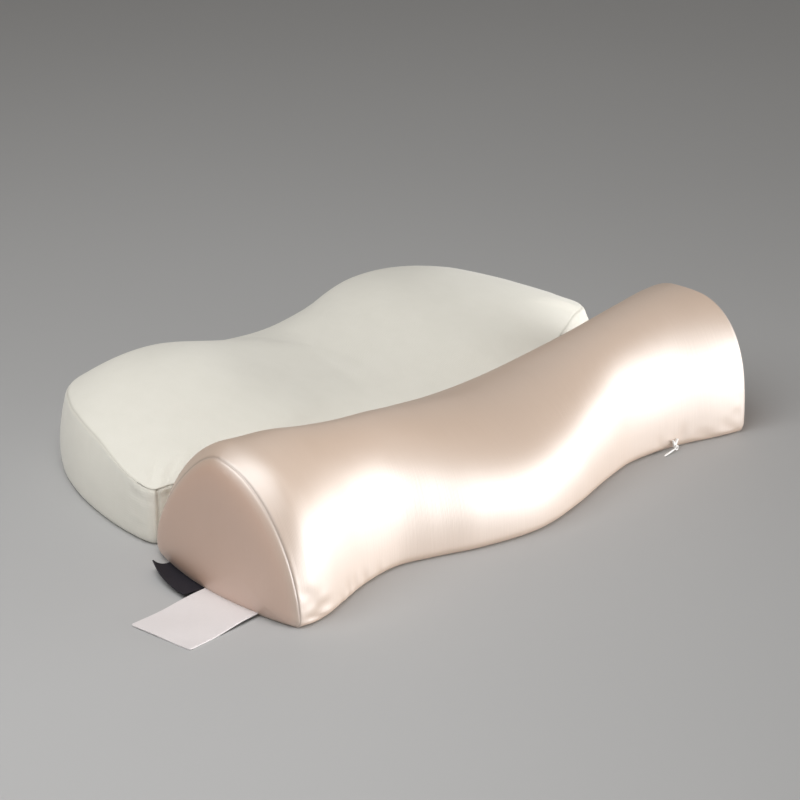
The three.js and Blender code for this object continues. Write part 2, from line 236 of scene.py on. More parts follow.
def fill_cover(piece, held):
    """Runs the cloth simulation on a piece, in metres, with its held places pinned, and caps the movement."""
    before = places_of(piece)
    group = piece.vertex_groups.new(name="held")
    for weight in (row["weight"] for row in HELD_ROWS):
        chosen = np.flatnonzero(held == weight)
        group.add([int(k) for k in chosen], weight, "REPLACE")
    cloth = piece.modifiers.new("cloth", "CLOTH")
    settings = cloth.settings
    settings.quality = 6
    settings.mass = 0.25
    settings.tension_stiffness = CLOTH_STIFFNESS
    settings.compression_stiffness = CLOTH_STIFFNESS
    settings.bending_stiffness = CLOTH_BENDING
    settings.use_pressure = True
    settings.uniform_pressure_force = CLOTH_PRESSURE
    settings.vertex_group_mass = "held"
    settings.effector_weights.gravity = 0.0
    cloth.collision_settings.use_collision = False
    scene = bpy.context.scene
    cloth.point_cache.frame_start = 1
    cloth.point_cache.frame_end = CLOTH_FRAMES
    for step in range(1, CLOTH_FRAMES + 1):
        scene.frame_set(step)
    apply_modifiers(piece)
    scene.frame_set(1)
    piece.vertex_groups.clear()
    moved = eased(piece, places_of(piece) - before, held < 1)
    length = np.linalg.norm(moved, axis=1, keepdims=True)
    kept = np.where(length > 0, CLOTH_CAP * np.tanh(length / CLOTH_CAP) / np.maximum(length, 1e-9), 0)
    move_to(piece, before + moved * kept)


# Share of a crease's depth by which the cloth stands up beside it, and how far its ends are cut short.
CREASE_SHOULDER = 0.35
CREASE_TAPER = 0.07


def strokes_depth(co, strokes):
    """How deep, in millimetres, a set of drawn creases sinks each place; negative where they raise it."""
    depth = np.zeros(len(co))
    for s in strokes:
        a = np.array(s["start"], dtype=float)
        b = np.array(s["end"], dtype=float)
        run = b - a
        t = np.clip(((co - a) @ run) / (run @ run), 0, 1)
        away = np.linalg.norm(co - (a + t[:, None] * run), axis=1)
        taper = np.sin(np.pi * mix(CREASE_TAPER, 1 - CREASE_TAPER, t))
        width = s["width"]
        trough = np.exp(-((away / width) ** 2))
        shoulder = np.exp(-(((away - 2 * width) / width) ** 2))
        depth += s["depth"] * taper * (trough - CREASE_SHOULDER * shoulder)
    return depth


def unevenness(co, size, seed):
    """Smooth noise from -1 to 1 with features of the given size in millimetres."""
    shift = Vector((seed * 17.3, seed * 5.9, seed * 11.1))
    return np.array([noise.noise(Vector(p) / size + shift) for p in co])


# Neck roll.
ROLL_ROWS = table(
    "x front back height front_fullness back_fullness",
    (0, 97, 72, 113.5, 0.5, 0.3),
    (14, 98.5, 77.5, 118.2, 0.6, 0.42),
    (30, 96.5, 74, 118.3, 0.62, 0.39),
    (50, 90, 68, 117, 0.62, 0.38),
    (80, 80, 58, 111, 0.62, 0.38),
    (117, 75, 53, 105, 0.62, 0.38),
    (150, 84, 57, 101, 0.62, 0.41),
    (185, 96, 60, 95, 0.62, 0.46),
    (240, 105, 61, 88.5, 0.62, 0.5),
    (296, 95, 58, 92, 0.62, 0.46),
    (345, 80, 54, 100, 0.62, 0.41),
    (385, 71, 50, 107.5, 0.62, 0.38),
    (435, 75, 53, 115, 0.62, 0.38),
    (475, 86, 64, 118, 0.62, 0.38),
    (500, 92, 70, 118, 0.62, 0.38),
)
ROLL_LENGTH = 500
ROLL_RIDGE_Y = -20
ROLL_HEM_HEIGHT = 7
ROLL_HEM_INSET = 6
ROLL_HALF_STEPS = 36
ROLL_HEM_STEPS = 6
ROLL_BASE_STEPS = 12
ROLL_SPACING = 3.6
ROLL_END_SPACING = (0, 0.5, 1.1, 2, 3.2, 5, 7.5, 10.5, 14)
ROLL_END_ROWS = table(
    "over near far",
    (0, 0, 0),
    (0.22, 4, 3),
    (0.38, 7, -2),
    (0.5, 9, -13),
    (0.75, 4, -12),
    (1, -2, -9),
)
ROLL_END_REACH = 80
ROLL_BASE_BOW = 12
ROLL_PANEL_BULGE = 4
ROLL_PANEL_EDGE = 7
ROLL_PANEL_EDGE_POWER = 7
ROLL_PANEL_SHARES = (0.994, 0.986, 0.973, 0.95, 0.92, 0.88, 0.82, 0.74, 0.65, 0.55, 0.44, 0.33, 0.22, 0.11)


def hem_turn(share):
    """How far in from the hem, and how high, the turn under the roll is at a share of the way down."""
    turn = math.pi / 2 * share
    return ROLL_HEM_INSET * (1 - math.cos(turn)), ROLL_HEM_HEIGHT * (1 - math.sin(turn))


def bezier(points, t):
    a, b, c, d = (np.array(p, dtype=float) for p in points)
    u = 1 - t
    return u**3 * a + 3 * u * u * t * b + 3 * u * t * t * c + t**3 * d


def roll_section(x):
    """Y and Z round a D section, from back hem over the ridge to the base, and the share of the way over."""
    front = along(ROLL_ROWS, "x", x, "front")
    back = along(ROLL_ROWS, "x", x, "back")
    height = along(ROLL_ROWS, "x", x, "height")
    front_fullness = along(ROLL_ROWS, "x", x, "front_fullness")
    back_fullness = along(ROLL_ROWS, "x", x, "back_fullness")
    rise = height - ROLL_HEM_HEIGHT
    ridge = ROLL_RIDGE_Y
    back_half = (
        (back, ROLL_HEM_HEIGHT),
        (back, ROLL_HEM_HEIGHT + rise * back_fullness),
        (ridge + (back - ridge) * back_fullness, height),
        (ridge, height),
    )
    front_half = (
        (ridge, height),
        (ridge - (front + ridge) * front_fullness, height),
        (-front, ROLL_HEM_HEIGHT + rise * front_fullness),
        (-front, ROLL_HEM_HEIGHT),
    )
    points, over = [], []
    for k in range(ROLL_HALF_STEPS):
        t = k / ROLL_HALF_STEPS
        points.append(bezier(back_half, t))
        over.append(1 - t / 2)
    for k in range(ROLL_HALF_STEPS + 1):
        t = k / ROLL_HALF_STEPS
        points.append(bezier(front_half, t))
        over.append(0.5 - t / 2)
    for k in range(1, ROLL_HEM_STEPS + 1):
        inset, z = hem_turn(k / ROLL_HEM_STEPS)
        points.append((-front + inset, z))
        over.append(0)
    for k in range(1, ROLL_BASE_STEPS):
        points.append((mix(-front + ROLL_HEM_INSET, back - ROLL_HEM_INSET, k / ROLL_BASE_STEPS), 0))
        over.append(-k / ROLL_BASE_STEPS)
    for k in range(ROLL_HEM_STEPS):
        inset, z = hem_turn(1 - k / ROLL_HEM_STEPS)
        points.append((back - inset, z))
        over.append(1)
    return np.array(points), np.array(over)


def end_shift(over, end):
    """How far outwards a place strays at one end: over is negative along the base, from front to back."""
    if over >= 0:
        return along(ROLL_END_ROWS, "over", over, end)
    share = -over
    return ROLL_END_ROWS[-1][end] * share + 4 * ROLL_BASE_BOW * share * (1 - share)


def roll_stations():
    ends = np.array(ROLL_END_SPACING, dtype=float)
    steps = int((ROLL_LENGTH - 2 * ends[-1]) / ROLL_SPACING)
    inner = np.linspace(ends[-1], ROLL_LENGTH - ends[-1], steps + 1)
    return np.concatenate([ends[:-1], inner, (ROLL_LENGTH - ends)[::-1][1:]])


def roll_rings():
    stations = roll_stations()
    rings = []
    for x in stations:
        section, over = roll_section(x)
        near_share = max(0.0, 1 - x / ROLL_END_REACH) ** 2
        far_share = max(0.0, 1 - (ROLL_LENGTH - x) / ROLL_END_REACH) ** 2
        near = np.array([end_shift(o, "near") for o in over]) * near_share
        far = np.array([end_shift(o, "far") for o in over]) * far_share
        rings.append(np.column_stack([x + far - near, section]))
    return stations, np.array(rings)


def spread_inside(places, edge, values):
    """Values given round a closed edge, spread over the places inside it by mean value coordinates."""
    made = []
    for place in places:
        toward = edge - place
        away = np.linalg.norm(toward, axis=1)
        following = np.roll(toward, -1, axis=0)
        cross = toward[:, 0] * following[:, 1] - toward[:, 1] * following[:, 0]
        dot = (toward * following).sum(axis=1)
        half_turn = np.tan(np.arctan2(cross, dot) / 2)
        weight = (half_turn + np.roll(half_turn, 1)) / away
        made.append(float((weight * values).sum() / weight.sum()))
    return np.array(made)


def panel_rings(edge, outward):
    """Rings of an end panel from its seam inwards, domed outwards, and the place where they close."""
    middle = edge.mean(axis=0)
    made = []
    for share in (*ROLL_PANEL_SHARES, 0):
        ring = mix(middle, edge, share)
        ring[:, 0] = spread_inside(ring[:, 1:], edge[:, 1:], edge[:, 0])
        dome = ROLL_PANEL_BULGE * (1 - share**2)
        edge_turn = ROLL_PANEL_EDGE * (1 - share**ROLL_PANEL_EDGE_POWER)
        ring[:, 0] += outward * (dome + edge_turn)
        made.append(ring)
    return made[:-1], made[-1][0]


TUBE, PANEL, BASE = 0, 1, 2


def outline_coordinates(rings):
    """Cloth coordinates of a ring mesh: along X and round each ring, across an end, and across the base."""
    steps = np.linalg.norm(np.roll(rings, -1, axis=1) - rings, axis=2)
    arc = np.concatenate([np.zeros((len(rings), 1)), np.cumsum(steps, axis=1)[:, :-1]], axis=1)
    flat = rings.reshape(-1, 3)
    tips = np.zeros((1, 2))
    round_it = np.vstack([tips, np.column_stack([flat[:, 0], arc.ravel()]), tips])
    across_end = np.vstack([tips, flat[:, 1:3], tips])
    across_base = np.vstack([tips, flat[:, 0:2], tips])
    return round_it, across_end, across_base


ROLL_CREASES = table(
    "start end width depth",
    # Folds at the near front corner.
    ((4, -98, 17), (32, -97, 11), 2.6, 1.7),
    ((3, -98, 8), (24, -98, 5), 2.2, 1.5),
    ((2, -96, 30), (15, -98, 20), 3.6, 0.9),
    # Puckers along the front hem.
    ((58, -86, 2), (54, -89, 17), 2.2, 2.2),
    ((67, -83, 2), (62, -86, 16), 2.0, 2.2),
    ((80, -80, 2), (77, -81, 13), 2.0, 1.6),
    ((96, -76, 2), (94, -76, 11), 2.0, 1.2),
    ((46, -90, 2), (42, -92, 13), 2.0, 1.3),
    ((438, -75, 3), (441, -75, 18), 3.2, 0.9),
    ((418, -73, 3), (414, -73, 13), 2.6, 0.7),
    ((470, -85, 4), (452, -80, 9), 2.6, 0.6),
    # Folds at the far front corner.
    ((493, -91, 6), (476, -87, 12), 3.0, 0.8),
    ((497, -92, 22), (488, -90, 14), 3.4, 0.5),
    # Folds at the back corners.
    ((4, 73, 10), (22, 76, 16), 3.0, 0.8),
    ((492, 69, 8), (476, 64, 14), 3.0, 0.8),
)
ROLL_SEAM_DEPTH = 1.1
ROLL_SEAM_WIDTH = 0.9
# Width, in millimetres, of the painted shade along the end seams.
ROLL_SEAM_SHADE_WIDTH = 1.4
ROLL_PUCKER = 0.22
# The painted shade that deepens the end panels' tone is full from this far inside their seam.
ROLL_PANEL_SHADE_FROM = 9.0
# Unevenness of each cover: how high, and how large its features are.
ROLL_UNEVEN = table(
    "height size seed",
    (0.45, 70.0, 1),
    (0.12, 24.0, 2),
)
PUCKER_PITCH = 7.5
PUCKER_REACH = 9.0


def puckers(to_seam, arc):
    """Share of the full pucker beside a seam, an uneven wave from its stitches that dies away from it."""
    wave = np.sin(2 * np.pi * arc / PUCKER_PITCH) * (0.6 + 0.4 * np.sin(arc / 23.0 + 1.3))
    return np.exp(-to_seam / PUCKER_REACH) * (1 - np.exp(-to_seam / 1.5)) * (1 + wave)


def uneven_depth(drawn, rows, to_seam):
    """Depth of a cover's unevenness: the broad one fades beside a seam."""
    broad, fine = rows
    away = 1 - np.exp(-to_seam / PUCKER_REACH)
    return (
        -broad["height"] * unevenness(drawn, broad["size"], broad["seed"]) * away
        - fine["height"] * unevenness(drawn, fine["size"], fine["seed"])
    )


def make_roll():
    stations, rings = roll_rings()
    near, near_tip = panel_rings(rings[0], -1)
    far, far_tip = panel_rings(rings[-1], 1)
    every = np.array(near[::-1] + list(rings) + far)
    first, last = len(near), len(near) + len(rings) - 1
    base_from = 2 * ROLL_HALF_STEPS + 1 + ROLL_HEM_STEPS
    base_to = base_from + ROLL_BASE_STEPS - 1

    def region(r, i):
        if r < first or r >= last:
            return PANEL
        return BASE if base_from - 1 <= i < base_to else TUBE

    piece = ring_mesh("neck_roll_cover", every, near_tip, far_tip, outline_coordinates(every), region)
    # How far every place is from the end seams, and from the hems.
    to_seam = np.zeros(every.shape[:2])
    for r in range(len(every)):
        if r < first:
            to_seam[r] = np.linalg.norm(every[r] - every[first], axis=1)
        elif r > last:
            to_seam[r] = np.linalg.norm(every[r] - every[last], axis=1)
        else:
            x = stations[r - first]
            to_seam[r] = min(x, ROLL_LENGTH - x)
    on_base = np.zeros(every.shape[:2], dtype=bool)
    on_base[:, base_from - 2:base_to + 2] = True
    on_base[:first] = False
    on_base[last + 1:] = False
    # The panel mark carries the end panels' painted shade, rising from their seam inwards.
    panel = np.clip(to_seam / ROLL_PANEL_SHADE_FROM, 0, 1)
    panel[first:last + 1] = 0
    panel = np.concatenate([[1.0], panel.ravel(), [1.0]])
    to_seam = np.concatenate([[NO_SEAM], to_seam.ravel(), [NO_SEAM]])
    on_base = np.concatenate([[False], on_base.ravel(), [False]])
    arc = np.concatenate([[0.0], outline_coordinates(every)[0][1:-1, 1], [0.0]])
    drawn = places_of(piece)
    held = held_places(to_seam, drawn)
    held[on_base] = 1.0
    move_to(piece, drawn * MM)
    fill_cover(piece, held)
    drawn = places_of(piece) / MM
    # Seams, puckers and creases are pressed in once the cover is filled.
    normals = normals_of(piece)
    depth = ROLL_SEAM_DEPTH * np.exp(-((to_seam / ROLL_SEAM_WIDTH) ** 2))
    depth += ROLL_PUCKER * puckers(to_seam, arc)
    depth += strokes_depth(drawn, ROLL_CREASES)
    depth += uneven_depth(drawn, ROLL_UNEVEN, to_seam)
    depth[on_base] = 0
    drawn = drawn - normals * depth[:, None]
    drawn[:, 2] = np.maximum(drawn[:, 2], 0)
    drawn[on_base, 2] = 0
    # The seam mark carries the painted shade along the seam grooves.
    finish_piece(piece, drawn, {"seam": np.exp(-((to_seam / ROLL_SEAM_SHADE_WIDTH) ** 2)), "panel": panel})
    subdivide(piece)
    return piece


def finish_piece(piece, drawn, marks):
    """Puts the drawing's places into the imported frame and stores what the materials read."""
    move_to(piece, (drawn + np.array(DRAWN_FROM)) * MM)
    for name, values in marks.items():
        layer = piece.data.attributes.new(name, "FLOAT", "POINT")
        layer.data.foreach_set("value", np.asarray(values, dtype=np.float32))


# Head pad: its plan on the floor, with the height of the seam between side band and top panel.
PAD_ROWS = table(
    "x y seam",
    (22, 77.3, 48),
    (45, 72, 48),
    (80, 64, 48),
    (117, 61, 48),
    (150, 64, 48),
    (185, 67, 48),
    (240, 68, 48),
    (296, 64, 48),
    (345, 62, 48),
    (385, 60, 48),
    (425, 67, 48),
    (465, 86, 48),
    (493, 97, 48),
    (516, 106.5, 48),
    (528, 110.5, 48),
    (535, 115, 48),
    (537, 122, 48.5),
    (536, 134, 49),
    (527, 163, 51),
    (511, 206, 52),
    (490, 250, 52),
    (462, 286, 51),
    (425, 303, 49),
    (385, 302, 48),
    (340, 292, 46),
    (290, 285, 45),
    (240, 287, 46),
    (190, 294, 49),
    (140, 297, 54),
    (98, 290, 56),
    (60, 273, 58),
    (34, 238, 61),
    (17, 197, 62),
    (7, 155, 59),
    (3, 122, 54),
    (2.3, 102, 51),
    (2.7, 90, 49.5),
    (4, 83.6, 48.5),
    (7, 79.6, 48),
    (12, 78.1, 48),
)
PAD_STEPS_PER_ROW = 14
PAD_MIDDLE = (262, 185)
PAD_TOP_ROWS = table(
    "y cradle left right",
    (60, 49, 6, 6),
    (110, 53, 13, 13),
    (160, 57, 19, 19),
    (215, 60, 20, 19),
    (260, 57, 18, 17),
    (310, 49, 12, 12),
)
PAD_WING_ROWS = table(
    "reach share",
    (0, 0),
    (15, 0.02),
    (55, 0.3),
    (110, 0.88),
    (150, 1),
    (200, 0.8),
    (270, 0.4),
)
PAD_SHOULDER = 62
PAD_SHOULDER_POWER = 2.5
PAD_LEAN = 8
PAD_LEAN_POWER = 1.8
PAD_LEAN_Y = (90, 170)
# Towards its right end the band flares out further below the seam.
PAD_FLARE = 12
PAD_FLARE_X = (450, 530)
PAD_HEM = 5
PAD_HEM_STEPS = 4
PAD_BAND_PUFF = 1.2
PAD_BAND_HEIGHTS = (0.16, 0.25, 0.35, 0.45, 0.55, 0.65, 0.74, 0.82, 0.88, 0.93, 0.96, 0.98, 0.99)
PAD_TOP_SHARES = (
    0.004, 0.009, 0.016, 0.026, 0.04, 0.058, 0.08, 0.105, 0.135, 0.17, 0.21, 0.255,
    0.305, 0.36, 0.42, 0.485, 0.555, 0.63, 0.71, 0.79, 0.87, 0.94,
)
PAD_BASE_SHARES = (0.94, 0.8, 0.6, 0.4, 0.2)


def pad_outline():
    """Places along the pad's outline, on a closed centripetal curve through its rows."""
    rows = [np.array([r["x"], r["y"], r["seam"]], dtype=float) for r in PAD_ROWS]
    count = len(rows)
    made = []
    for i in range(count):
        p = [rows[(i + k - 1) % count] for k in range(4)]
        gap = [max(np.linalg.norm(p[k + 1] - p[k]) ** 0.5, 1e-4) for k in range(3)]
        leave = (p[1] - p[0]) / gap[0] - (p[2] - p[0]) / (gap[0] + gap[1]) + (p[2] - p[1]) / gap[1]
        arrive = (p[2] - p[1]) / gap[1] - (p[3] - p[1]) / (gap[1] + gap[2]) + (p[3] - p[2]) / gap[2]
        leave = leave * gap[1]
        arrive = arrive * gap[1]
        for k in range(PAD_STEPS_PER_ROW):
            t = k / PAD_STEPS_PER_ROW
            made.append(
                p[1]
                + leave * t
                + (3 * (p[2] - p[1]) - 2 * leave - arrive) * t**2
                + (2 * (p[1] - p[2]) + leave + arrive) * t**3
            )
    return np.array(made)


def pad_top(x, y):
    cradle = along(PAD_TOP_ROWS, "y", y, "cradle")
    wing = along(PAD_TOP_ROWS, "y", y, "left" if x < PAD_MIDDLE[0] else "right")
    return cradle + wing * along(PAD_WING_ROWS, "reach", abs(x - PAD_MIDDLE[0]), "share")


PAD_BAND, PAD_TOP = 0, 1
PAD_CORNERS = ((9.5, 78.7), (533, 113))
PAD_CREASES = table(
    "start end width depth",
    # Puckers either side of the near front corner.
    ((5, 84, 38), (3, 106, 41), 2.6, 1.3),
    ((5, 84, 28), (3, 100, 29), 2.6, 1.1),
    ((5, 84, 14), (3, 102, 12), 3.0, 0.9),
    ((11, 79, 42), (26, 77, 40), 2.4, 1.0),
    ((11, 79, 28), (22, 77, 26), 2.6, 0.8),
    ((9, 84, 50), (28, 106, 58), 3.2, 1.1),
    ((18, 82, 50), (46, 96, 57), 3.0, 0.8),
    # The far front corner.
    ((521, 114, 47), (505, 106, 38), 2.6, 1.0),
    ((520, 119, 50), (500, 130, 54), 3.2, 1.0),
    ((530, 120, 34), (532, 142, 38), 3.0, 0.8),
    ((517, 150, 50), (505, 153, 56), 2.4, 1.2),
    ((518, 166, 51), (506, 171, 57), 2.4, 1.0),
    # The seam where the outline turns at the back, first a fold that stands up.
    ((33, 238, 61), (41, 248, 61), 2.6, -1.3),
    ((25, 216, 62), (30, 230, 60), 3.0, 0.9),
    ((46, 256, 60), (58, 262, 62), 3.2, 0.8),
    ((502, 232, 50), (492, 250, 46), 3.0, 0.8),
    ((448, 296, 48), (470, 282, 44), 3.2, 0.8),
    ((90, 292, 50), (112, 297, 47), 3.2, 0.8),
)
PAD_SEAM_DEPTH = 1.1
PAD_SEAM_WIDTH = 1.0
# Width, in millimetres, of the painted shade along the seams.
PAD_SEAM_SHADE_WIDTH = 1.3
PAD_CORNER_DEPTH = 0.9
PAD_CORNER_WIDTH = 1.6
# Width, in millimetres, of the painted shade down the corner seams.
PAD_CORNER_SHADE_WIDTH = 1.5
PAD_CORNER_RIPPLE = 0.35
PAD_CORNER_RIPPLE_PITCH = 9.0
PAD_CORNER_RIPPLE_REACH = 10.0
PAD_PUCKER = 0.2
PAD_UNEVEN = table(
    "height size seed",
    (0.6, 80.0, 5),
    (0.15, 26.0, 6),
)


def make_pad():
    outline = pad_outline()
    plan = outline[:, :2]
    seam = outline[:, 2]
    inward = np.array(PAD_MIDDLE) - plan
    reach = np.linalg.norm(inward, axis=1)
    inward = inward / reach[:, None]
    back_lean = PAD_LEAN * smoothstep(plan[:, 1], *PAD_LEAN_Y)
    flare = PAD_FLARE * smoothstep(plan[:, 0], *PAD_FLARE_X)
    lean = np.maximum(back_lean, flare)

    def ring(inset, height):
        place = plan + inward * np.reshape(inset, (-1, 1))
        return np.column_stack([place, np.broadcast_to(height, seam.shape)])

    rings, to_seam = [], []
    hem_inset = np.full(len(seam), float(PAD_HEM))
    for share in PAD_BASE_SHARES[::-1]:
        rings.append(ring(mix(reach, hem_inset, share), 0.0))
        to_seam.append(np.full(len(seam), NO_SEAM))
    for k in range(PAD_HEM_STEPS + 1):
        turn = math.pi / 2 * k / PAD_HEM_STEPS
        rings.append(ring(hem_inset * (1 - math.sin(turn)), PAD_HEM * (1 - math.cos(turn))))
        to_seam.append(seam - PAD_HEM * (1 - math.cos(turn)))
    for h in PAD_BAND_HEIGHTS:
        puff = PAD_BAND_PUFF * math.sin(math.pi * h) ** 0.8
        rings.append(ring(lean * h**PAD_LEAN_POWER - puff, seam * h))
        to_seam.append(seam * (1 - h))
    base_rings = len(PAD_BASE_SHARES)
    top_from = len(rings)
    edge = ring(lean, seam)
    rings.append(edge)
    to_seam.append(np.zeros(len(seam)))
    middle = np.array(PAD_MIDDLE, dtype=float)
    for share in PAD_TOP_SHARES:
        place = mix(edge[:, :2], middle, share)
        in_from = np.linalg.norm(place - edge[:, :2], axis=1)
        rise = 1 - (1 - np.minimum(in_from / PAD_SHOULDER, 1)) ** PAD_SHOULDER_POWER
        top = np.array([pad_top(x, y) for x, y in place])
        rings.append(np.column_stack([place, mix(seam, top, rise)]))
        to_seam.append(in_from)
    every = np.array(rings)
    bottom_tip = (*PAD_MIDDLE, 0.0)
    top_tip = (*PAD_MIDDLE, pad_top(*PAD_MIDDLE))

    steps = np.linalg.norm(np.roll(plan, -1, axis=0) - plan, axis=1)
    arc = np.concatenate([[0.0], np.cumsum(steps)[:-1]])
    flat = every.reshape(-1, 3)
    round_arc = np.tile(arc, len(every))
    tips = np.zeros((1, 2))
    band_uv = np.vstack([tips, np.column_stack([round_arc, flat[:, 2]]), tips])
    top_uv = np.vstack([[PAD_MIDDLE], flat[:, :2], [PAD_MIDDLE]])

    def region(r, i):
        return PAD_TOP if r >= top_from or r < base_rings else PAD_BAND

    piece = ring_mesh("head_pad_cover", every, bottom_tip, top_tip, (band_uv, top_uv), region)
    to_seam = np.concatenate([[NO_SEAM], np.array(to_seam).ravel(), [NO_SEAM]])
    round_arc = np.concatenate([[0.0], round_arc, [0.0]])
    drawn = places_of(piece)
    on_base = drawn[:, 2] < 0.01
    to_corner = np.min([np.hypot(drawn[:, 0] - x, drawn[:, 1] - y) for x, y in PAD_CORNERS], axis=0)
    below = np.arange(len(drawn)) <= top_from * len(seam)
    to_corner = np.where(below, to_corner, NO_SEAM)
    move_to(piece, drawn * MM)
    fill_cover(piece, held_places(to_seam, drawn))
    drawn = places_of(piece) / MM
    normals = normals_of(piece)
    ripple = 1 + np.sin(2 * np.pi * drawn[:, 2] / PAD_CORNER_RIPPLE_PITCH)
    depth = PAD_SEAM_DEPTH * np.exp(-((to_seam / PAD_SEAM_WIDTH) ** 2))
    depth += PAD_CORNER_DEPTH * np.exp(-((to_corner / PAD_CORNER_WIDTH) ** 2))
    depth += PAD_PUCKER * puckers(to_seam, round_arc)
    depth += PAD_CORNER_RIPPLE * np.exp(-to_corner / PAD_CORNER_RIPPLE_REACH) * ripple
    depth += strokes_depth(drawn, PAD_CREASES)
    depth += uneven_depth(drawn, PAD_UNEVEN, to_seam)
    depth[on_base] = 0
    drawn = drawn - normals * depth[:, None]
    drawn[on_base, 2] = 0
    # Painted shade along the seams and down the corner seams, stored as the knit's seam mark.
    corner_shade = np.exp(-((to_corner / PAD_CORNER_SHADE_WIDTH) ** 2))
    seam_shade = np.maximum(np.exp(-((to_seam / PAD_SEAM_SHADE_WIDTH) ** 2)), corner_shade)
    finish_piece(piece, drawn, {"seam": seam_shade})
    return piece


# Labels, sewn into the hem of the roll's near end.
LABEL_THICKNESS = 1.1
LABEL_SEAM_HEIGHT = 2.0
LABEL_CLEARANCE = 1.4
WOVEN_ROWS = table(
    "y reach lift",
    (-3, 21, 2),
    (15, 21, 3),
    (32, 20, 5.5),
    (47, 17, 8),
)
WOVEN_CURL_POWER = 2.4
CARE_BACK_SIDE = dict(hem_y=-4.4, free=(-85.5, -8.1))
CARE_FRONT_SIDE = dict(hem_y=-60.8, free=(-77, -66.3))
CARE_LENGTH = 70.0
CARE_HUMP = 2.2
CARE_HUMP_SPAN = (8, 48)
CARE_LIFT = 0.25
CARE_RIPPLE = 0.25
CARE_RIPPLE_SPAN = (5, 40)
CARE_CORNER_RADIUS = 2.2


def label_seam_x(y):
    """X of a label's sewn edge where it meets the hem of the roll's near end."""
    base_front = -ROLL_ROWS[0]["front"] + 3
    base_back = ROLL_ROWS[0]["back"] - 3
    share = (y - base_front) / (base_back - base_front)
    return -end_shift(-share, "near") - LABEL_CLEARANCE


def sheet_mesh(name, grid, thickness):
    """A sheet from the grid of its underside, with cloth coordinates along its two sides."""
    rows, wide = grid.shape[:2]
    points = grid.reshape(-1, 3)
    faces = []
    for i in range(rows - 1):
        for j in range(wide - 1):
            a = i * wide + j
            faces.append((a, a + wide, a + wide + 1, a + 1))
    mesh = bpy.data.meshes.new(name)
    mesh.from_pydata([tuple((p + np.array(DRAWN_FROM)) * MM) for p in points], [], faces)
    mesh.update()
    piece = link(name, mesh)
    along_rows = np.concatenate([[0], np.cumsum(np.linalg.norm(np.diff(grid[:, wide // 2], axis=0), axis=1))])
    along_wide = np.concatenate([[0], np.cumsum(np.linalg.norm(np.diff(grid[rows // 2], axis=0), axis=1))])
    layer = mesh.uv_layers.new(name="cloth")
    corners = np.empty(len(mesh.loops), dtype=np.int32)
    mesh.loops.foreach_get("vertex_index", corners)
    uv = np.column_stack([along_rows[corners // wide], along_wide[corners % wide]])
    layer.data.foreach_set("uv", (uv * MM).astype(np.float32).ravel())
    body = piece.modifiers.new("body", "SOLIDIFY")
    body.thickness = thickness * MM
    body.offset = 1.0
    round_off = piece.modifiers.new("round", "BEVEL")
    round_off.width = thickness * 0.3 * MM
    round_off.segments = 2
    round_off.limit_method = "ANGLE"
    round_off.angle_limit = math.radians(50)
    apply_modifiers(piece)
    piece.data.polygons.foreach_set("use_smooth", [True] * len(piece.data.polygons))
    return piece


def make_woven_label():
    front_y, back_y = WOVEN_ROWS[0]["y"], WOVEN_ROWS[-1]["y"]
    grid = []
    for out in np.linspace(0, 1, 19):
        row = []
        for y in np.linspace(back_y, front_y, 41):
            reach = along(WOVEN_ROWS, "y", y, "reach")
            lift = along(WOVEN_ROWS, "y", y, "lift")
            row.append((label_seam_x(y) - out * reach, y, LABEL_SEAM_HEIGHT + out**WOVEN_CURL_POWER * lift))
        grid.append(row)
    return sheet_mesh("woven_label_cloth", np.array(grid), LABEL_THICKNESS)


def make_care_label():
    free_back = np.array(CARE_BACK_SIDE["free"], dtype=float)
    free_front = np.array(CARE_FRONT_SIDE["free"], dtype=float)
    width = float(np.linalg.norm(free_back - free_front))
    grid = []
    for out in np.linspace(0, 1, 61):
        left = max(0.0, CARE_CORNER_RADIUS - CARE_LENGTH * (1 - out))
        trim = (CARE_CORNER_RADIUS - math.sqrt(max(CARE_CORNER_RADIUS**2 - left**2, 0))) / width
        row = []
        for share in np.linspace(trim, 1 - trim, 37):
            hem_y = mix(CARE_BACK_SIDE["hem_y"], CARE_FRONT_SIDE["hem_y"], share)
            start = np.array([label_seam_x(hem_y), hem_y])
            place = mix(start, mix(free_back, free_front, share), out)
            away = float(np.linalg.norm(place - start))
            z = CARE_HUMP * (1 - float(smoothstep(away, *CARE_HUMP_SPAN)))
            grown = float(smoothstep(away, *CARE_RIPPLE_SPAN))
            ripple = CARE_RIPPLE * math.sin(share * 7 + away / 12) * grown
            row.append((place[0], place[1], z + CARE_LIFT + ripple))
        grid.append(row)
    return sheet_mesh("care_label_cloth", np.array(grid), LABEL_THICKNESS)


# Zip: the slider on the roll's front wall just above the hem, and the pull that hangs from it.
ZIP_X = 430
ZIP_GAP = 0.4
SLIDER_THICKNESS = 2.0
SLIDER_STEM = 1.6
SLIDER_SPREAD = 3.4
SLIDER_PRONG = 1.3
SLIDER_FOOT_Z = 3.2
SLIDER_FORK_Z = 6.4
SLIDER_TOP_Z = 10.0
PULL_RING = 1.7
PULL_WIRE = 0.62
PULL_RING_Z = 3.2
PULL_LENGTH = 17.0
PULL_TIP_Z = 1.1
PULL_SWING = 4.0
PULL_CLEARANCE = 0.7
PULL_RING_STEPS = 32


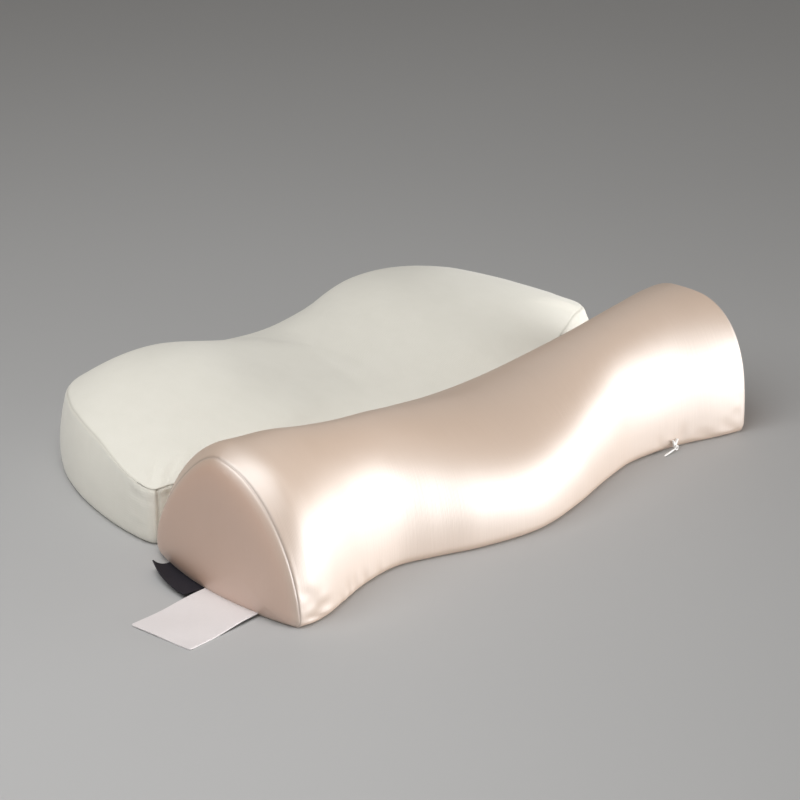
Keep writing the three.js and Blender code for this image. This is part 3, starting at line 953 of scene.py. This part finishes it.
def tube_faces(path, radii, closed, sides=12):
    """Places and faces of a round tube along a path; an open one has closed ends."""
    path = np.array(path, dtype=float)
    count = len(path)
    rings = []
    for k in range(count):
        before = path[k - 1] if closed or k else path[0]
        after = path[(k + 1) % count] if closed or k < count - 1 else path[-1]
        run = Vector(after - before).normalized()
        side = run.cross(Vector((0.0, 1.0, 0.0))).normalized()
        up = run.cross(side)
        for s in range(sides):
            turn = 2 * math.pi * s / sides
            rings.append(Vector(path[k]) + (side * math.cos(turn) + up * math.sin(turn)) * radii[k])
    faces = []
    for k in range(count if closed else count - 1):
        for s in range(sides):
            a, b = k * sides + s, k * sides + (s + 1) % sides
            c, d = ((k + 1) % count) * sides + (s + 1) % sides, ((k + 1) % count) * sides + s
            faces.append((a, d, c, b))
    if not closed:
        faces.append(tuple(range(sides)))
        faces.append(tuple(reversed(range((count - 1) * sides, count * sides))))
    return rings, faces


def solid_piece(name, parts):
    points, faces = [], []
    for part_points, part_faces in parts:
        start = len(points)
        points += [in_frame(p) for p in part_points]
        faces += [tuple(start + k for k in face) for face in part_faces]
    mesh = bpy.data.meshes.new(name)
    mesh.from_pydata(points, [], faces)
    mesh.update()
    mesh.polygons.foreach_set("use_smooth", [True] * len(mesh.polygons))
    return link(name, mesh)


def zip_wall():
    return -along(ROLL_ROWS, "x", ZIP_X + SLIDER_SPREAD, "front") - ZIP_GAP


def make_zip_pull():
    y = zip_wall() - SLIDER_THICKNESS - ZIP_GAP - PULL_CLEARANCE
    centre = np.array([ZIP_X, y, PULL_RING_Z])
    swing = math.radians(PULL_SWING)
    run = np.array([-math.cos(swing), -math.sin(swing), (PULL_TIP_Z - PULL_RING_Z) / PULL_LENGTH])
    run /= np.linalg.norm(run)
    up = np.array([0, 0, 1.0]) - run[2] * run
    up /= np.linalg.norm(up)
    turns = np.linspace(0, 2 * math.pi, PULL_RING_STEPS + 1)[:-1]
    ring = [centre + (run * math.cos(t) + up * math.sin(t)) * PULL_RING for t in turns]
    bar_rows = table(
        "reach radius",
        (1.7, 0.45),
        (2.6, 0.62),
        (6.0, 0.72),
        (12.0, 0.85),
        (15.4, 0.85),
        (16.3, 0.62),
        (16.7, 0.2),
    )
    bar = [centre + run * row["reach"] for row in bar_rows]
    radii = [row["radius"] for row in bar_rows]
    parts = [tube_faces(ring, [PULL_WIRE] * len(ring), True), tube_faces(bar, radii, False)]
    return solid_piece("zip_pull_wire", parts)


def make_zip_slider():
    wall = zip_wall()
    low = SLIDER_FORK_Z - SLIDER_PRONG
    outline = [
        (-SLIDER_STEM, SLIDER_FOOT_Z),
        (SLIDER_STEM, SLIDER_FOOT_Z),
        (SLIDER_STEM, low),
        (SLIDER_SPREAD, SLIDER_TOP_Z),
        (SLIDER_SPREAD - SLIDER_PRONG, SLIDER_TOP_Z),
        (0, SLIDER_FORK_Z),
        (-SLIDER_SPREAD + SLIDER_PRONG, SLIDER_TOP_Z),
        (-SLIDER_SPREAD, SLIDER_TOP_Z),
        (-SLIDER_STEM, low),
    ]
    count = len(outline)
    points = [(ZIP_X + x, wall, z) for x, z in outline]
    points += [(ZIP_X + x, wall - SLIDER_THICKNESS, z) for x, z in outline]
    faces = [tuple(range(count)), tuple(reversed(range(count, 2 * count)))]
    faces += [(k, k + count, (k + 1) % count + count, (k + 1) % count) for k in range(count)]
    piece = solid_piece("zip_slider_body", [(points, faces)])
    soft = piece.modifiers.new("soft", "BEVEL")
    soft.width = 0.35 * MM
    soft.segments = 3
    apply_modifiers(piece)
    return piece


# Materials.

def node_material(name, colour, roughness):
    made = bpy.data.materials.new(name)
    made.use_nodes = True
    nodes = made.node_tree.nodes
    shader = nodes["Principled BSDF"]
    shader.inputs["Base Color"].default_value = (*colour, 1)
    shader.inputs["Roughness"].default_value = roughness
    return made, made.node_tree, shader


def add(tree, kind, **values):
    made = tree.nodes.new(kind)
    for key, value in values.items():
        setattr(made, key, value)
    return made


def cloth_noise(tree, scale, detail=2.0, roughness=0.5):
    """Noise over the cloth's own coordinates, in features per metre along and across the thread."""
    uv = add(tree, "ShaderNodeUVMap", uv_map="cloth")
    mapping = add(tree, "ShaderNodeMapping")
    mapping.inputs["Scale"].default_value = (*scale, 1)
    texture = add(tree, "ShaderNodeTexNoise")
    texture.inputs["Scale"].default_value = 1.0
    texture.inputs["Detail"].default_value = detail
    texture.inputs["Roughness"].default_value = roughness
    tree.links.new(uv.outputs["UV"], mapping.inputs["Vector"])
    tree.links.new(mapping.outputs["Vector"], texture.inputs["Vector"])
    return texture.outputs["Fac"]


def cloth_wave(tree, scale, direction):
    """Even threads over the cloth's own coordinates, side by side in one direction."""
    uv = add(tree, "ShaderNodeUVMap", uv_map="cloth")
    wave = add(tree, "ShaderNodeTexWave", wave_type="BANDS", bands_direction=direction, wave_profile="SIN")
    wave.inputs["Scale"].default_value = scale
    tree.links.new(uv.outputs["UV"], wave.inputs["Vector"])
    return wave.outputs["Fac"]


def maths(tree, operation, a, b):
    node = add(tree, "ShaderNodeMath", operation=operation)
    for socket, value in zip(node.inputs, (a, b)):
        if isinstance(value, (int, float)):
            socket.default_value = value
        else:
            tree.links.new(value, socket)
    return node.outputs[0]


def ranged(tree, value, low, high):
    node = add(tree, "ShaderNodeMapRange")
    node.inputs["To Min"].default_value = low
    node.inputs["To Max"].default_value = high
    tree.links.new(value, node.inputs["Value"])
    return node.outputs["Result"]


def blend_colours(tree, share, a, b):
    node = add(tree, "ShaderNodeMix", data_type="RGBA")
    tree.links.new(share, node.inputs[0])
    for socket, value in ((node.inputs[6], a), (node.inputs[7], b)):
        if isinstance(value, tuple):
            socket.default_value = (*value, 1)
        else:
            tree.links.new(value, socket)
    return node.outputs[2]


def bump(tree, shader, height, strength, distance, under=None):
    node = add(tree, "ShaderNodeBump")
    node.inputs["Strength"].default_value = strength
    node.inputs["Distance"].default_value = distance
    tree.links.new(height, node.inputs["Height"])
    if under is not None:
        tree.links.new(under, node.inputs["Normal"])
    tree.links.new(node.outputs["Normal"], shader.inputs["Normal"])
    return node.outputs["Normal"]


def attribute(tree, name):
    return add(tree, "ShaderNodeAttribute", attribute_name=name).outputs["Fac"]


SATIN_TONE = (0.52, 0.365, 0.26)
SATIN_LIGHT = (0.57, 0.41, 0.30)
SATIN_SEAM_SHADE = (0.25, 0.165, 0.12)
# The end panels are cut across the grain; their deeper, redder tone is painted shade, for panels that face
# away from the key light and catch less of its sheen.
SATIN_PANEL_SHADE = (0.58, 0.35, 0.235)


def satin_material():
    made, tree, shader = node_material("satin", SATIN_TONE, 0.38)
    streak = cloth_noise(tree, (620, 26), detail=3.0, roughness=0.6)
    broad = cloth_noise(tree, (9, 5), detail=1.0)
    tone = blend_colours(tree, streak, SATIN_TONE, SATIN_LIGHT)
    # Painted shade: the end panels take the deeper tone.
    tone = blend_colours(tree, attribute(tree, "panel"), tone, SATIN_PANEL_SHADE)
    # Painted shade: the tone darkens along the seams, standing in for shade in the seam groove.
    share = maths(tree, "MULTIPLY", attribute(tree, "seam"), 0.55)
    tree.links.new(blend_colours(tree, share, tone, SATIN_SEAM_SHADE), shader.inputs["Base Color"])
    rough = maths(tree, "ADD", ranged(tree, streak, -0.05, 0.05), ranged(tree, broad, 0.51, 0.57))
    tree.links.new(rough, shader.inputs["Roughness"])
    shader.inputs["IOR"].default_value = 2.5
    shader.inputs["Specular IOR Level"].default_value = 1.0
    shader.inputs["Sheen Weight"].default_value = 0.12
    shader.inputs["Sheen Roughness"].default_value = 0.35
    shader.inputs["Anisotropic"].default_value = 0.2
    grain = add(tree, "ShaderNodeTangent", direction_type="UV_MAP", uv_map="cloth")
    tree.links.new(grain.outputs["Tangent"], shader.inputs["Tangent"])
    thread = cloth_wave(tree, 330, "X")
    fine = bump(tree, shader, thread, 0.10, 0.0002)
    bump(tree, shader, streak, 0.22, 0.0004, under=fine)
    return made


KNIT_TONE = (0.84, 0.82, 0.745)
KNIT_DEEP = (0.77, 0.75, 0.67)
KNIT_SEAM_SHADE = (0.42, 0.40, 0.34)


def knit_material():
    made, tree, shader = node_material("knit", KNIT_TONE, 0.85)
    loops = maths(tree, "MULTIPLY", cloth_wave(tree, 190, "X"), cloth_wave(tree, 150, "Y"))
    fuzz = cloth_noise(tree, (1300, 1300), detail=3.0, roughness=0.65)
    mottle = cloth_noise(tree, (60, 42), detail=3.0, roughness=0.6)
    tone = blend_colours(tree, ranged(tree, mottle, 0.0, 0.7), KNIT_TONE, KNIT_DEEP)
    # Painted shade: the tone darkens along the seams and corner seams, standing in for shade in their
    # grooves.
    share = maths(tree, "MULTIPLY", attribute(tree, "seam"), 0.5)
    tree.links.new(blend_colours(tree, share, tone, KNIT_SEAM_SHADE), shader.inputs["Base Color"])
    tree.links.new(ranged(tree, fuzz, 0.78, 0.92), shader.inputs["Roughness"])
    shader.inputs["Specular IOR Level"].default_value = 0.25
    shader.inputs["Sheen Weight"].default_value = 0.25
    shader.inputs["Sheen Roughness"].default_value = 0.5
    knit = bump(tree, shader, loops, 0.22, 0.0003)
    bump(tree, shader, fuzz, 0.2, 0.0003, under=knit)
    return made


def label_material(name, tone, deep, roughness, sheen):
    made, tree, shader = node_material(name, tone, roughness)
    weave = maths(tree, "MULTIPLY", cloth_wave(tree, 500, "X"), cloth_wave(tree, 420, "Y"))
    slub = cloth_noise(tree, (160, 900), detail=2.0)
    shade = blend_colours(tree, maths(tree, "MULTIPLY", weave, slub), tone, deep)
    tree.links.new(shade, shader.inputs["Base Color"])
    tree.links.new(ranged(tree, slub, roughness - 0.06, roughness + 0.06), shader.inputs["Roughness"])
    shader.inputs["Sheen Weight"].default_value = sheen
    bump(tree, shader, weave, 0.35, 0.0002)
    return made


def plastic_material():
    made, tree, shader = node_material("white_plastic", (0.86, 0.85, 0.83), 0.35)
    texture = add(tree, "ShaderNodeTexNoise")
    texture.inputs["Scale"].default_value = 900.0
    coordinates = add(tree, "ShaderNodeTexCoord")
    tree.links.new(coordinates.outputs["Object"], texture.inputs["Vector"])
    tree.links.new(ranged(tree, texture.outputs["Fac"], 0.28, 0.42), shader.inputs["Roughness"])
    bump(tree, shader, texture.outputs["Fac"], 0.08, 0.0001)
    return made


FLOOR_TONE = (0.43, 0.43, 0.43)
FLOOR_LIGHT = (0.46, 0.46, 0.46)


def floor_material():
    made, tree, shader = node_material("floor", FLOOR_TONE, 0.7)
    texture = add(tree, "ShaderNodeTexNoise")
    texture.inputs["Scale"].default_value = 1.2
    coordinates = add(tree, "ShaderNodeTexCoord")
    tree.links.new(coordinates.outputs["Object"], texture.inputs["Vector"])
    tone = blend_colours(tree, texture.outputs["Fac"], FLOOR_TONE, FLOOR_LIGHT)
    tree.links.new(tone, shader.inputs["Base Color"])
    return made


def place(piece, node, slot_name, material):
    piece.data.materials.clear()
    piece.data.materials.append(material)
    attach(piece, "root")
    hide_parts(node)
    return piece


roll = place(make_roll(), "neck_roll", "satin_cover", satin_material())
pad = place(make_pad(), "head_pad", "knit_cover", knit_material())
dark = label_material("dark_weave", (0.008, 0.006, 0.012), (0.018, 0.015, 0.023), 0.8, 0)
pale = label_material("pale_weave", (0.74, 0.70, 0.70), (0.62, 0.58, 0.58), 0.6, 0.1)
woven = place(make_woven_label(), "woven_label", "dark_label", dark)
care = place(make_care_label(), "care_label", "pale_label", pale)
white = plastic_material()
place(make_zip_pull(), "zip_pull", "zip_trim", white)
place(make_zip_slider(), "zip_slider", "zip_trim", white)

# Floor and light.
FLOOR_HALF = 12.0
mesh = bpy.data.meshes.new("floor")
corners = [(x * FLOOR_HALF, y * FLOOR_HALF, 0) for x, y in ((-1, -1), (1, -1), (1, 1), (-1, 1))]
mesh.from_pydata(corners, [], [(0, 1, 2, 3)])
mesh.materials.append(floor_material())
floor = link("floor", mesh)


LIGHT_AIM = (0.05, 0.0, 0.05)


def area_light(name, azimuth, elevation, distance, size, power):
    """A soft light at an azimuth from +X towards +Y and an elevation, aimed at the pillow."""
    a, e = math.radians(azimuth), math.radians(elevation)
    away = Vector((math.cos(a) * math.cos(e), math.sin(a) * math.cos(e), math.sin(e)))
    data = bpy.data.lights.new(name, "AREA")
    data.shape = "RECTANGLE"
    data.size, data.size_y = size
    data.energy = power
    lamp = link(name, data)
    lamp.location = Vector(LIGHT_AIM) + away * distance
    lamp.rotation_euler = away.to_track_quat("Z", "Y").to_euler()


area_light("key", -55, 1.5, 6.0, (9.0, 0.75), 620)
area_light("top", 195, 56, 1.4, (1.3, 1.3), 18)
area_light("back", 60, 45, 2.4, (2.0, 1.4), 3)
world = bpy.data.worlds.new("studio")
bpy.context.scene.world = world
world.use_nodes = True
world.node_tree.nodes["Background"].inputs["Color"].default_value = (1.0, 0.95, 0.88, 1)
world.node_tree.nodes["Background"].inputs["Strength"].default_value = 0.16
bpy.context.scene.view_settings.view_transform = "Standard"
